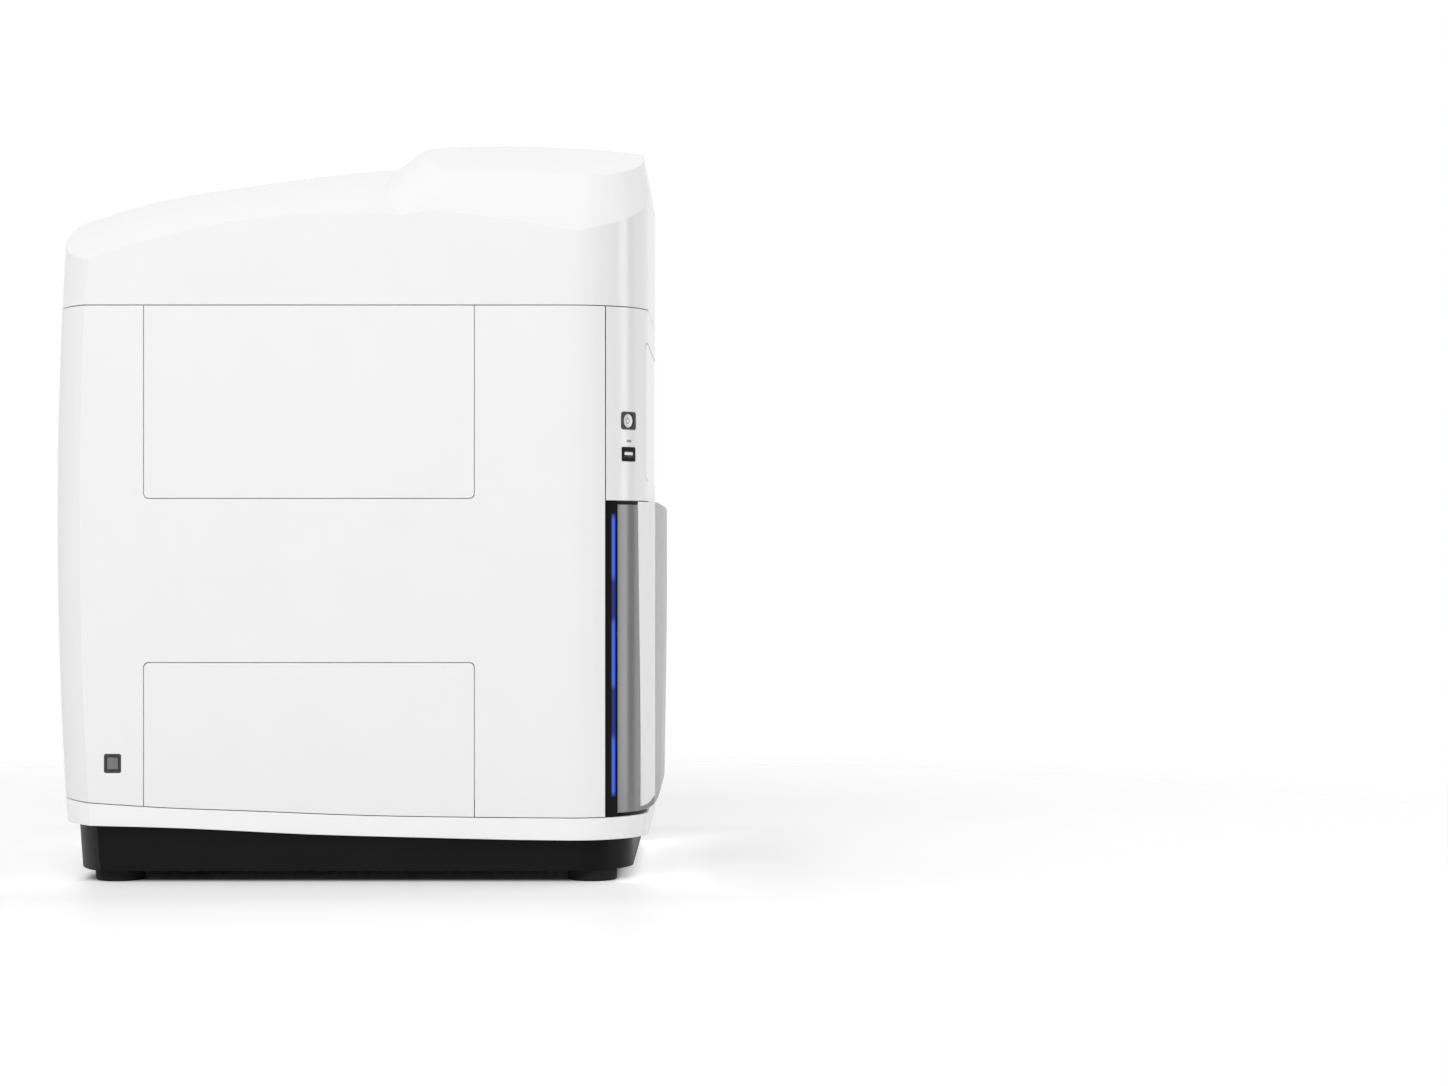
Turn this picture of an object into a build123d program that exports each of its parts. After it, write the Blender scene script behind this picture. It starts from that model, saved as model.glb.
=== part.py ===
from build123d import *
import os
from math import asin, cos, radians, sin, sqrt

# Digital slide scanner. Millimetres, +Z up, front towards -Y, floor at Z = 0, centre of the
# overall depth at Y = 0. Every dimension is a real size.
os.makedirs("parts", exist_ok=True)

# Housing
HALF_WIDTH = 225.0
FRONT = -294.5
REAR = 310.5
SKIN = 3.0
GAP = 0.8
FRONT_CORNER_R = 79.0
REAR_FLAT = 140.0
REAR_CREASE = 38.0
BOW_R = 4560.0
BOW_Z = 365.0
HOOD_SEAM_Z = 579.0
PANEL_SEAM_Y = -253.1
# Hood: height of the shoulder at the side and of the crown, along the depth
SHOULDER = [(333, 592, 678), (233, 638, 703), (153, 658, 717.5), (73, 670, 728.5),
            (3, 673, 736.5), (-67, 669, 740), (-137, 662, 738), (-217, 649, 727), (-317, 620, 700)]
CROWN_Z = 763.7
CROWN_R = 420.0
CROWN_LONG_R = 1200.0
CROWN_Y = -142.5
CROWN_DROP = 9.0
# Lower edge of the panels and of the skirt, from rear to front (Y, Z)
SEAM_LINE = [(340, 83.5), (262, 81), (202, 77), (102, 73), (2, 69), (-98, 67), (-198, 66), (-330, 66)]
SKIRT_LINE = [(340, 60), (252, 58), (152, 55), (52, 50), (-48, 47), (-172, 44), (-230, 43.4), (-330, 43.4)]
# Base and feet
BASE_INSET = 12.0
BASE_FRONT_INSET = 15.5
BASE_Z0 = 11.5
BASE_Z1 = 60.0
FOOT_R = 25.0
FOOT_X = 178.0
FOOT_Y = (240.4, -238.3)
# Side covers on the left (-X) panel: front edge, rear edge, lower or upper level
COVER_Y = (-122.0, 208.0)
UPPER_COVER_Z = 386.0
LOWER_COVER_Z = 221.0
# Door
DOOR_Z0 = 69.7
DOOR_Z1 = 383.0
DOOR_BACK = -265.0
WINDOW_EDGE_Y = (-288.0, -284.6)
PULL = (-40.0, -302.0, 80.0, 8.0)
STRIP_END = (152.0, -301.1)
BULGE_Y = -310.5
PANEL_BACK = -298.0
HINGE = (192.0, -270.0)
PIN_R = 4.0
PIN_FIT = 0.05
# Controls on the rounded front-left corner, by angle round it
CONTROL_ANGLE = 50.1
BUTTON_Z = 464.4
KEY_R = 7.2
USB_Z = 430.6
SWITCH_Y = 239.5
SWITCH_Z = 120.5
# Mechanics
PLATE_Z1 = 64.0
DECK_Z0 = 392.0
DECK_Z1 = 402.0
AXIS_Y = -60.0
RACK_PITCH = 24.0
POST_X = (-195.0, 195.0)
POST_Y = (-205.0, 240.0)
TRAY_LEVELS = (2, 4, 6, 8)
TRANSPORT_HOLE_R = 3.4
TRANSPORT_X = (-120.0, 120.0)
TRANSPORT_Y = (-180.0, 180.0)


def block(x0, x1, y0, y1, z0, z1):
    return Pos((x0 + x1) / 2, (y0 + y1) / 2, (z0 + z1) / 2) * Box(x1 - x0, y1 - y0, z1 - z0)


def post(x, y, z0, z1, r):
    return Pos(x, y, (z0 + z1) / 2) * Cylinder(r, z1 - z0)


def rod_y(x, z, y0, y1, r):
    return Pos(x, (y0 + y1) / 2, z) * Rot(90, 0, 0) * Cylinder(r, y1 - y0)


def join(shapes):
    total = shapes[0]
    for shape in shapes[1:]:
        total = total + shape
    return total


def grid(make, xs, ys):
    return [make(x, y) for x in xs for y in ys]


def prism_yz(points, curve=None):
    """A solid as wide as the housing from a side outline of (Y, Z) points."""
    with BuildSketch(Plane.YZ) as sketch:
        with BuildLine():
            if curve:
                Spline([(y, z) for y, z in curve])
            Polyline(points)
        make_face()
    return extrude(sketch.sketch, 260, both=True)


def below(line, drop):
    curve = [(y, z - drop) for y, z in line]
    return prism_yz([curve[-1], (curve[-1][0], -20), (curve[0][0], -20), curve[0]], curve)


# ---- master forms -------------------------------------------------------------------------

def rear_form(t):
    """Everything inside the bowed rear wall with its two curved corners, inset by t."""
    run = HALF_WIDTH - REAR_FLAT
    r = (run ** 2 + REAR_CREASE ** 2) / (2 * REAR_CREASE)
    centre_y = REAR - r
    ri = r - t
    side = HALF_WIDTH - t
    rear = REAR - t
    crease_y = centre_y + sqrt(ri ** 2 - (side - REAR_FLAT) ** 2)
    half = asin((side - REAR_FLAT) / ri) / 2
    mid = (REAR_FLAT + ri * sin(half), centre_y + ri * cos(half))
    with BuildSketch(Plane.XY.offset(BOW_Z)) as sketch:
        with BuildLine():
            Polyline((REAR_FLAT, rear), (-REAR_FLAT, rear))
            ThreePointArc((-REAR_FLAT, rear), (-mid[0], mid[1]), (-side, crease_y))
            Polyline((-side, crease_y), (-side, -420), (side, -420), (side, crease_y))
            ThreePointArc((side, crease_y), mid, (REAR_FLAT, rear))
        make_face()
    axis = Axis((0, REAR - BOW_R, BOW_Z), (1, 0, 0))
    return Solid.revolve(sketch.sketch.faces()[0].rotate(axis, -7), 14, axis)


def front_form(t, z0, z1, front_inset=None):
    """A prism with the two large front corners, inset by t."""
    front = FRONT + (t if front_inset is None else front_inset)
    with BuildSketch(Plane.XY.offset(z0)) as sketch:
        with Locations((0, (front + 400) / 2)):
            Rectangle(2 * (HALF_WIDTH - t), 400 - front)
        fillet(sketch.vertices().group_by(Axis.Y)[0], FRONT_CORNER_R - t)
    return extrude(sketch.sketch, z1 - z0)


def dome(t):
    """The long crowned roof. Inside, it runs straight from every second station to the next."""
    sections = []
    half = HALF_WIDTH + 5
    stations = SHOULDER[::2] if t else SHOULDER
    for y, side, crown in stations:
        with BuildSketch(Plane(origin=(0, y, 0), x_dir=(1, 0, 0), z_dir=(0, -1, 0))) as sketch:
            with BuildLine():
                Polyline((-half, side - t - 5), (-half, 500), (half, 500), (half, side - t - 5))
                ThreePointArc((half, side - t - 5), (0, crown - t), (-half, side - t - 5))
            make_face()
        sections.append(sketch.sketch.faces()[0].outer_wire())
    return Solid.make_loft(sections, t > 0)


def trapezium(z, front, front_half, rear, rear_half, front_r, rear_r):
    shape = Polygon((-front_half, front), (-rear_half, rear), (rear_half, rear), (front_half, front),
                    align=None)
    shape = fillet(shape.vertices().group_by(Axis.Y)[0], front_r)
    shape = fillet(shape.vertices().group_by(Axis.Y)[-1], rear_r)
    return (Plane.XY.offset(z) * shape).face().outer_wire()


def hump(t):
    """The raised part of the hood: leaning walls under a doubly curved crown, inset by t.
    Inside, the crown is curved across only and a little lower."""
    low = trapezium(600, -315.2 + t, 240 - t, 116.5 - t, 305 - t, 95 - t, 140 - t)
    high = trapezium(780, -281.3 + t, 170 - t, -91.5 - t, 131 - t, 50 - t, 84 - t)
    walls = Solid.make_loft([low, high], True)
    half = 240
    crown = CROWN_Z - t - (CROWN_DROP if t else 0)
    edge = crown - (CROWN_R - sqrt(CROWN_R ** 2 - half ** 2))
    with BuildSketch(Plane(origin=(0, CROWN_Y, 0), x_dir=(1, 0, 0), z_dir=(0, -1, 0))) as sketch:
        with BuildLine():
            Polyline((-half, edge), (-half, 560), (half, 560), (half, edge))
            ThreePointArc((half, edge), (0, crown), (-half, edge))
        make_face()
    if t:
        return walls & extrude(sketch.sketch, 260, both=True)
    axis = Axis((0, CROWN_Y, CROWN_Z - CROWN_LONG_R), (1, 0, 0))
    cap = Solid.revolve(sketch.sketch.faces()[0].rotate(axis, -10), 22, axis)
    return walls & cap


def body_form(t, z0, z1):
    return front_form(t, z0, z1) & rear_form(t)


def hood_form(t, z0):
    return body_form(t, z0, 800) & (dome(t) + hump(t))


def corner_plane(angle, inset, z):
    """A plane on the rounded front-left corner, looking outwards."""
    a = radians(angle)
    r = FRONT_CORNER_R - inset
    centre = (-HALF_WIDTH + FRONT_CORNER_R, FRONT + FRONT_CORNER_R)
    origin = (centre[0] - r * cos(a), centre[1] - r * sin(a), z)
    return Plane(origin=origin, x_dir=(sin(a), -cos(a), 0), z_dir=(-cos(a), -sin(a), 0))


def corner_prism(angle, z, width, height, radius, depth=20.0):
    shape = corner_plane(angle, depth, z) * RectangleRounded(width, height, radius)
    return extrude(shape, depth + 10)


# ---- housing ------------------------------------------------------------------------------

def build_shells():
    outer = body_form(0, 0, HOOD_SEAM_Z - GAP / 2)
    inner = body_form(SKIN, -10, 640)
    shell = outer - inner
    panels = shell - below(SEAM_LINE, -GAP / 2)
    skirt = (shell & below(SEAM_LINE, GAP / 2)) - below(SKIRT_LINE, 0)
    fascia = panels & block(-300, 300, -400, PANEL_SEAM_Y - GAP / 2, 0, 700)
    fascia = fascia - block(-300, 300, -400, DOOR_BACK + GAP, 0, DOOR_Z1 + GAP)
    fascia = fascia - block(-300, 0, -400, -200, 0, DOOR_Z1 + GAP)
    fascia = fascia - post(HINGE[0], HINGE[1], 0, DOOR_Z1 + GAP, 18.0)
    rest = panels & block(-300, 300, PANEL_SEAM_Y + GAP / 2, 400, 0, 700)
    split = REAR_FLAT - 2
    back = rest & block(-split + GAP, split - GAP, 200, 400, 0, 700)
    left = (rest & block(-300, 0, -300, 400, 0, 700)) - block(-split, 10, 200, 400, 0, 700)
    right = (rest & block(0, 300, -300, 400, 0, 700)) - block(-10, split, 200, 400, 0, 700)
    left = left - block(-100, 100, -300, 400, 0, 700)
    right = right - block(-100, 100, -300, 400, 0, 700)
    return skirt, fascia, left, right, back, inner


def cover_ledge(y0, y1, z0, z1):
    """The rim behind a service opening that its cover lies against."""
    front = -HALF_WIDTH + SKIN
    ring = block(front, front + 2.3, y0 - 7, y1 + 7, z0 - 7, z1 + 7)
    ring = ring - block(front - 1, front + 3, y0 + 8, y1 - 8, z0 + 8, z1 - 8)
    return ring - block(front - 1, front + 0.3, y0 - GAP, y1 + GAP, z0 - GAP, z1 + GAP)


def cover_plate(y0, y1, z0, z1, round_top):
    plate = block(-HALF_WIDTH, -HALF_WIDTH + SKIN, y0, y1, z0, z1)
    group = plate.edges().filter_by(Axis.X).group_by(Axis.Z)
    return fillet(group[-1 if round_top else 0], 5.0)


def covers():
    y0, y1 = COVER_Y
    top = HOOD_SEAM_Z - GAP / 2
    upper_hole = cover_plate(y0 - GAP, y1 + GAP, UPPER_COVER_Z - GAP, 640, False)
    lower_hole = cover_plate(y0 - GAP, y1 + GAP, 40, LOWER_COVER_Z + GAP, True)
    upper = cover_plate(y0, y1, UPPER_COVER_Z, top, False)
    lower = cover_plate(y0, y1, 40, LOWER_COVER_Z, True) - below(SEAM_LINE, -GAP / 2)
    inner = -HALF_WIDTH + SKIN
    for y in (y0 + 30, y1 - 30):
        upper = upper + block(inner, inner + 4, y - 8, y + 8, UPPER_COVER_Z + 60, UPPER_COVER_Z + 76)
        lower = lower + block(inner, inner + 4, y - 8, y + 8, 150, 166)
    ledges = cover_ledge(y0, y1, UPPER_COVER_Z, 640) + cover_ledge(y0, y1, 40, LOWER_COVER_Z)
    ledges = ledges & block(-300, 0, -300, 400, 84, top)
    return upper, lower, upper_hole, lower_hole, ledges


def rear_openings():
    holes = [block(-60, 60, 290, 330, z, z + 4) for z in range(180, 268, 11)]
    holes += [block(-36 + inset, 36 - inset, 290, 330, z - 2.5, z + 2.5)
              for z, inset in ((455, 12), (467, 4), (479, 0), (491, 0), (503, 4), (515, 12))]
    holes.append(block(72, 104, 280, 330, 104, 130))
    holes.append(block(-104, -44, 280, 330, 106, 128))
    return join(holes)


def hood_part():
    outer = hood_form(0, HOOD_SEAM_Z + GAP / 2)
    inner = hood_form(SKIN, 560)
    return outer - inner


def base_parts():
    outer = front_form(BASE_INSET, BASE_Z0, BASE_Z1, BASE_FRONT_INSET) & rear_form(BASE_INSET)
    inner = front_form(BASE_INSET + 4, BASE_Z0 + 4, BASE_Z1 + 5, BASE_FRONT_INSET + 4)
    plinth = outer - (inner & rear_form(BASE_INSET + 4))
    plinth = plinth - join(grid(lambda x, y: post(x, y, 5, 25, TRANSPORT_HOLE_R), TRANSPORT_X, TRANSPORT_Y))
    plate = body_form(SKIN, BASE_Z1, PLATE_Z1)
    plate = plate - join(grid(lambda x, y: block(x - 16, x + 16, y - 14, y + 14, 50, 70), (-110, 110), (-60, 60)))
    return plinth, plate


def foot(x, y):
    pad = post(x, y, 0, BASE_Z0, FOOT_R)
    return chamfer(pad.edges().group_by(Axis.Z)[0], 1.5)


# ---- front controls -----------------------------------------------------------------------

def corner_skin(t0, t1):
    return front_form(t0, 380, 520) - front_form(t1, 370, 530)


def controls():
    bezel_cut = corner_prism(CONTROL_ANGLE, BUTTON_Z, 22.0, 17.8, 2.8)
    bezel = corner_skin(-0.3, 7) & bezel_cut
    key = corner_plane(CONTROL_ANGLE, 7, BUTTON_Z)
    bezel = bezel - extrude(key * Circle(KEY_R + 0.5), 20, both=True)
    button = extrude(key * Circle(KEY_R), 5.0)
    usb_cut = corner_prism(CONTROL_ANGLE, USB_Z, 20.4, 14.4, 1.4)
    usb = corner_skin(-0.3, 16) & usb_cut
    face = corner_plane(CONTROL_ANGLE, 0, USB_Z)
    usb = usb - extrude(face.offset(-13) * Rectangle(13.2, 5.6), 20)
    tongue = extrude(face.offset(-14) * Pos(0, 0.9) * Rectangle(11.6, 1.9), 12.5)
    return bezel_cut, bezel, button, usb_cut, usb + tongue


def switch_parts():
    face = Plane(origin=(-HALF_WIDTH, SWITCH_Y, SWITCH_Z), x_dir=(0, -1, 0), z_dir=(-1, 0, 0))
    cut = extrude(face.offset(-10) * RectangleRounded(17.2, 19.2, 2.0), 20)
    bezel = extrude(face.offset(-12) * RectangleRounded(17.2, 19.2, 2.0), 12)
    bezel = bezel - extrude(face.offset(-9) * RectangleRounded(12.2, 13.2, 1.4), 20)
    switch = extrude(face.offset(-5.5) * RectangleRounded(11.0, 12.0, 1.0), 5.2)
    return cut, bezel, switch


def light_bar_parts():
    zone = block(-300, 0, DOOR_BACK + GAP, PANEL_SEAM_Y - GAP / 2, 60, DOOR_Z1 - 0.2)
    zone = zone - below(SEAM_LINE, -GAP / 2)
    housing = (front_form(0.4, 60, 400) - front_form(11, 50, 410)) & zone
    flange = front_form(SKIN, 84, 382) - front_form(SKIN + 3, 80, 390)
    housing = housing + (flange & block(-300, 0, DOOR_BACK + GAP, -232, 84, 382))
    slot = (front_form(-1, 86, 371) - front_form(6, 80, 380)) & block(-300, 0, -263.2, -258.4, 86, 371)
    bar = (front_form(0.2, 86, 371) - front_form(6, 80, 380)) & slot
    return housing - slot, bar


def status_panel():
    outline = Plane.XZ * Pos(0, 475) * RectangleRounded(336, 140, 9)
    slab = extrude(outline, 320) & block(-300, 300, -320, -250, 380, 580)
    cut = slab & front_form(-1, 380, 570)
    ring = Plane.XZ * Pos(0, 475) * RectangleRounded(335, 139, 8.5)
    panel = (front_form(0.7, 380, 570) - front_form(2.4, 370, 580)) & extrude(ring, 320)
    panel = panel & block(-300, 300, -320, -250, 380, 580)
    pocket = cut & (front_form(-1, 380, 570) - front_form(2.4, 370, 580))
    return pocket, panel


# ---- door ---------------------------------------------------------------------------------

def door_profile(t):
    """Side outline of the door, rounded at the top and more at the bottom, tapering downwards."""
    top = DOOR_Z1 - t
    low = DOOR_Z0 + t
    out = BULGE_Y + t
    foot_y = BULGE_Y + 4.5 + t
    with BuildSketch(Plane.YZ) as sketch:
        with BuildLine():
            Polyline((-240, top), (out + 10, top))
            RadiusArc((out + 10, top), (out, top - 10), -10)
            Polyline((out, top - 10), (out, 295), (foot_y, low + 17))
            RadiusArc((foot_y, low + 17), (foot_y + 17, low), -17)
            Polyline((foot_y + 17, low), (-240, low), (-240, top))
        make_face()
    return extrude(sketch.sketch, 260, both=True)


def strip_start():
    a = radians(62.9)
    x = HALF_WIDTH - FRONT_CORNER_R + FRONT_CORNER_R * cos(a)
    return x, FRONT + FRONT_CORNER_R - FRONT_CORNER_R * sin(a)


def door_plan(bulge_y):
    """Plan of the door in front of its back plane; the corners are cut by the housing's own."""
    x0, y0 = strip_start()
    x1, y1 = STRIP_END
    with BuildSketch() as sketch:
        with BuildLine():
            Polyline((-x1, y1), (-x0, y0), (-300, y0), (-300, DOOR_BACK), (300, DOOR_BACK), (300, y0),
                     (x0, y0), (x1, y1))
            ThreePointArc((x1, y1), (0, bulge_y), (-x1, y1))
        make_face()
    shape = extrude(sketch.sketch, 500)
    side = block(-400, -x0, -400, 0, 0, 600) + block(x0, 400, -400, 0, 0, 600)
    rounded = shape & side & front_form(0, 0, 500)
    middle = shape & block(-x0, x0, -400, 0, 0, 600)
    return rounded + middle


def pull_groove(door):
    """The finger groove in the door's top edge: its lining, flush with the door, and its hole."""
    x, y, length, width = PULL
    hole = extrude(Plane.XY.offset(DOOR_Z1 - 14) * Pos(x, y) * RectangleRounded(length, width, 3.9), 20)
    hollow = Plane.XY.offset(DOOR_Z1 - 12.6) * Pos(x, y) * RectangleRounded(length - 2.4, width - 2.4, 2.7)
    return (hole & door) - extrude(hollow, 20), hole


def window_zone():
    """Where the corner window lies; its front edge leans forward towards the bottom."""
    z0, z1 = DOOR_Z0 + 4, DOOR_Z1
    low, high = WINDOW_EDGE_Y
    zone = prism_yz([(DOOR_BACK, z0), (low, z0), (high, z1 - 4), (high + 1.2, z1 - 1.2), (high + 4, z1),
                     (DOOR_BACK, z1), (DOOR_BACK, z0)])
    return zone & block(-300, -150, -400, 0, 0, 600)


def door_parts():
    full = door_plan(BULGE_Y) & door_profile(0)
    frame_solid = full - block(-400, 400, -400, PANEL_BACK, 0, 600)
    edge = full & block(-400, 400, -400, PANEL_BACK, 0, 600)
    lip = edge - block(-STRIP_END[0] + 3, STRIP_END[0] - 3, -400, 0, 0, 600)
    panel = edge & block(-STRIP_END[0] + 3.5, STRIP_END[0] - 3.5, -400, 0, 0, 600)
    hollow = block(-300, 300, PANEL_BACK + 3, DOOR_BACK + 10, DOOR_Z0 + 6, DOOR_Z1 - 3)
    hollow = hollow & front_form(SKIN, 0, 500)
    frame = frame_solid - hollow + lip
    window = (front_form(0, 0, 500) - front_form(SKIN, -5, 505)) & window_zone()
    frame = frame - window
    liner = hollow & block(-300, 300, DOOR_BACK - 2.5, DOOR_BACK, 0, 600)
    axis = post(HINGE[0], HINGE[1], 0, 600, PIN_R + 0.6)
    relief = post(HINGE[0], HINGE[1], 350, DOOR_Z1 - 3, 8) + post(HINGE[0], HINGE[1], 0, 100, 8)
    liner = liner - relief
    pull, pull_cut = pull_groove(full)
    panel = panel - pull_cut
    ring = Plane.XZ.offset(-DOOR_BACK) * Pos(0, 226) * RectangleRounded(336, 292, 12)
    ring = ring - Plane.XZ.offset(-DOOR_BACK) * Pos(0, 226) * RectangleRounded(322, 278, 8)
    gasket = extrude(ring, -2.4)
    return frame - axis, window, panel, liner, pull, gasket


def door_bushings():
    x, y = HINGE
    sleeve = post(x, y, 352, DOOR_Z1 - 3, 7.5) + post(x, y, DOOR_Z0 + 6, 99, 7.5)
    sleeve = sleeve & front_form(SKIN, 0, 500)
    return sleeve - post(x, y, 0, 600, PIN_R + PIN_FIT)


def hinge_pins():
    x, y = HINGE
    keep = front_form(SKIN, 0, 500)
    upper = block(176, 204, -288, -214, DOOR_Z1 + 1.5, DOOR_Z1 + 6) & keep
    upper = upper + post(x, y, 356, DOOR_Z1 + 3, PIN_R)
    lower = block(176, 204, -288, -240, PLATE_Z1, 68.4) & keep
    lower = lower + post(x, y, 66, 95, PIN_R)
    return upper + lower


# ---- frame and mechanics ------------------------------------------------------------------

def chassis():
    parts = grid(lambda x, y: block(x - 9, x + 9, y - 9, y + 9, PLATE_Z1, 572), POST_X, POST_Y)
    for x in (-195, 195):
        parts.append(block(x - 9, x + 9, -205, 240, 560, 572))
        parts.append(block(x - 9, x + 9, -205, 240, 380, DECK_Z0))
    for y in (-205, 240):
        parts.append(block(-195, 195, y - 9, y + 9, 560, 572))
    for z in (148, 300, 480):
        for y in (-205, 240):
            parts.append(block(-222, -195, y - 6, y + 6, z, z + 12))
            parts.append(block(195, 222, y - 6, y + 6, z, z + 12))
    parts.append(block(-6, 6, 240, 312, 560, 572) & body_form(SKIN, 550, 580))
    parts.append(block(-6, 6, -300, -205, 560, 572) & body_form(SKIN, 550, 580))
    for x0, x1, x2 in ((-222, -204, -186), (222, 204, 186)):
        parts.append(block(min(x1, x2), max(x1, x2), -40, 40, 572, 612))
        parts.append(block(min(x0, x1), max(x0, x1), -40, 40, 600, 612))
    return join(parts)


def deck():
    plate = block(-204, 204, -214, 249, DECK_Z0, DECK_Z1)
    plate = plate - post(0, AXIS_Y, 380, 410, 22.0)
    plate = plate - join(grid(lambda x, y: block(x - 9, x + 9, y - 9, y + 9, 380, 410), POST_X, POST_Y))
    return plate - block(-76, 76, 20, 134, 380, 410)


def bay():
    box = block(-168, 168, -262, -118, 70, 388) - block(-166, 166, -270, -110, 72, 386)
    flange = block(-174, 174, -262, -260, 66, 391) - block(-166, 166, -270, -250, 72, 386)
    tabs = [block(168, 186, -212, -198, 200, 220), block(-186, -168, -212, -198, 200, 220)]
    feet = [block(-160, 160, y, y + 12, PLATE_Z1, 70) for y in (-250, -140)]
    return join([box, flange] + tabs + feet), block(-174, -169, -264.4, -262, 200, 250)


def rack():
    sides = block(-80, 80, -235, -130, 72, 380) - block(-76, 76, -245, -120, 76, 376)
    ledges = []
    for level in range(12):
        z = 92 + level * RACK_PITCH
        ledges.append(block(-76, -70, -235, -130, z, z + 2))
        ledges.append(block(70, 76, -235, -130, z, z + 2))
    windows = [block(-90, 90, -215, -150, z, z + 8) for z in range(104, 360, 48)]
    return join([sides] + ledges) - join(windows)


def tray(level):
    z = 94.3 + (level - 1) * RACK_PITCH
    plate = block(-74.5, 74.5, -234, -134, z, z + 5)
    plate = plate + block(-16, 16, -240, -234, z, z + 5)
    slides = []
    for i in range(5):
        x = (i - 2) * 28.6
        plate = plate - block(x - 13.2, x + 13.2, -224.2, -147.8, z + 3.8, z + 6)
        plate = plate - block(x - 10, x + 10, -214, -158, z - 1, z + 6)
        slides.append(block(x - 13, x + 13, -224, -148, z + 3.8, z + 4.8))
    return plate, join(slides)


def lift():
    rail = block(-12, 12, 137.3, 155, PLATE_Z1, DECK_Z0)
    rail = rail + block(-12, 46, 140, 158, PLATE_Z1, 68) + block(-12, 46, 142, 155, 386, DECK_Z0)
    rail = rail - post(34, 147, 60, 390, 5.3)
    table = block(-70, 70, 25, 137, 90, 96) + block(-24, 44, 118, 137, 90, 132)
    table = table + block(-24, -12.3, 137, 158, 90, 132) + block(12.3, 24, 137, 158, 90, 132)
    nut = block(24, 44, 137, 158, 96, 116)
    table = table + nut - post(34, 147, 80, 140, 5.3)
    gripper = block(-30, 30, 60, 112, 96.3, 109) + block(-30, -22, 36, 60, 96.3, 105)
    gripper = gripper + block(22, 30, 36, 60, 96.3, 105)
    screw = post(34, 147, PLATE_Z1 + 0.3, 389, 5.0)
    return rail, table, gripper, screw


def stage():
    base = block(-150, 150, -170, 14, DECK_Z1, 416) - block(-45, 45, -105, -15, 390, 420)
    base = base + block(-150, 150, -156, -148, 416, 421) + block(-150, 150, -6, 2, 416, 421)
    cross = block(-112, 112, -162, 8, 416.3, 429) - block(-40, 40, -105, -15, 410, 435)
    cross = cross - block(-200, 200, -156.3, -147.7, 410, 421.3) - block(-200, 200, -6.3, 2.3, 410, 421.3)
    cross = cross + block(-92, -84, -162, 8, 429, 434) + block(84, 92, -162, 8, 429, 434)
    holder = block(-100, 100, -128, -2, 429.3, 442) - block(-30, 30, -90, -30, 420, 450)
    holder = holder - block(-92.3, -83.7, -200, 50, 420, 434.3) - block(83.7, 92.3, -200, 50, 420, 434.3)
    holder = holder - block(-38.4, 38.4, -73.4, -46.6, 441, 445)
    slide = block(-38, 38, -73, -47, 441, 442)
    return base, cross, holder + block(-44, -39, -66, -54, 442, 445), slide


def optics():
    column = block(-104, 104, 50, 92, DECK_Z1, 690) - block(-78, 78, 40, 100, 400, 446)
    column = column - block(-94, 94, 60, 100, 470, 670) + block(-10, 10, 44, 50, 450, 680)
    carriage = block(-38, 38, 20, 49.7, 533, 640) - block(-10.3, 10.3, 43.7, 60, 500, 700)
    carriage = carriage + block(-38, 38, -96, 20, 533, 556)
    carriage = carriage - post(0, AXIS_Y, 520, 560, 14) - post(0, -30, 520, 541, 8.3)
    tube = post(0, AXIS_Y, 556, 640, 24) + block(-34, 34, -94, -26, 640, 700)
    tube = tube + block(-12, 12, AXIS_Y - 12, AXIS_Y + 12, 700, 706)
    turret = post(0, -30, 520, 532.7, 40) + post(0, -30, 532.7, 540.7, 8)
    for i, length in enumerate((62, 50, 44, 56)):
        x = 30 * sin(radians(90 * i))
        y = -30 - 30 * cos(radians(90 * i))
        turret = turret + Pos(x, y, 528 - length) * extrude(RegularPolygon(11, 16), length - 8)
        turret = turret + Pos(x, y, 520 - length) * extrude(RegularPolygon(6, 16), 8)
    lamp = post(0, AXIS_Y, 344, 400, 21) + block(-32, 32, AXIS_Y - 32, AXIS_Y + 32, 384, DECK_Z0)
    lamp = lamp + block(-26, 26, AXIS_Y - 26, AXIS_Y + 26, 330, 344)
    return column, carriage, tube, turret, lamp


def electronics(inner):
    wall = block(-186, 186, 166, 169, PLATE_Z1, DECK_Z0)
    wall = wall - join(grid(lambda x, z: block(x - 30, x + 30, 160, 180, z, z + 6), (-120, 120), (90, 104)))
    supply = block(24, 144, 180, 276, PLATE_Z1, 142)
    supply = supply - join([block(x, x + 4, 170, 184, 80, 126) for x in range(36, 132, 12)])
    board = block(-150, 10, 176, 178, 180, 340)
    board = board + join(grid(lambda x, z: block(x - 3, x + 3, 169, 176, z - 3, z + 3), (-143, 3), (187, 333)))
    for x0, x1, z0, z1, high in ((-140, -100, 300, 325, 12), (-80, -40, 240, 280, 6),
                                 (-20, 0, 200, 330, 16), (-135, -110, 195, 270, 9)):
        board = board + block(x0, x1, 178, 178 + high, z0, z1)
    fan = block(-42, 42, 278, 312, 438, 526) & inner
    fan = fan - rod_y(0, 485, 270, 320, 39)
    spider = join([rod_y(0, 485, 278, 281, 15), block(-41, 41, 278, 281, 483, 487)])
    fan = fan + (spider & block(-41, 41, 270, 320, 440, 524)) + rod_y(0, 485, 280, 298, 3)
    rotor = rod_y(0, 485, 283, 299, 15)
    for i in range(5):
        blade = Pos(0, 291, 485) * Rot(0, 72 * i, 0) * Pos(25, 0, 0) * Rot(32, 0, 0) * Box(22, 2, 18)
        rotor = rotor + blade
    rotor = rotor - rod_y(0, 485, 270, 320, 3 + PIN_FIT)
    return wall, supply, board, fan, rotor


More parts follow.
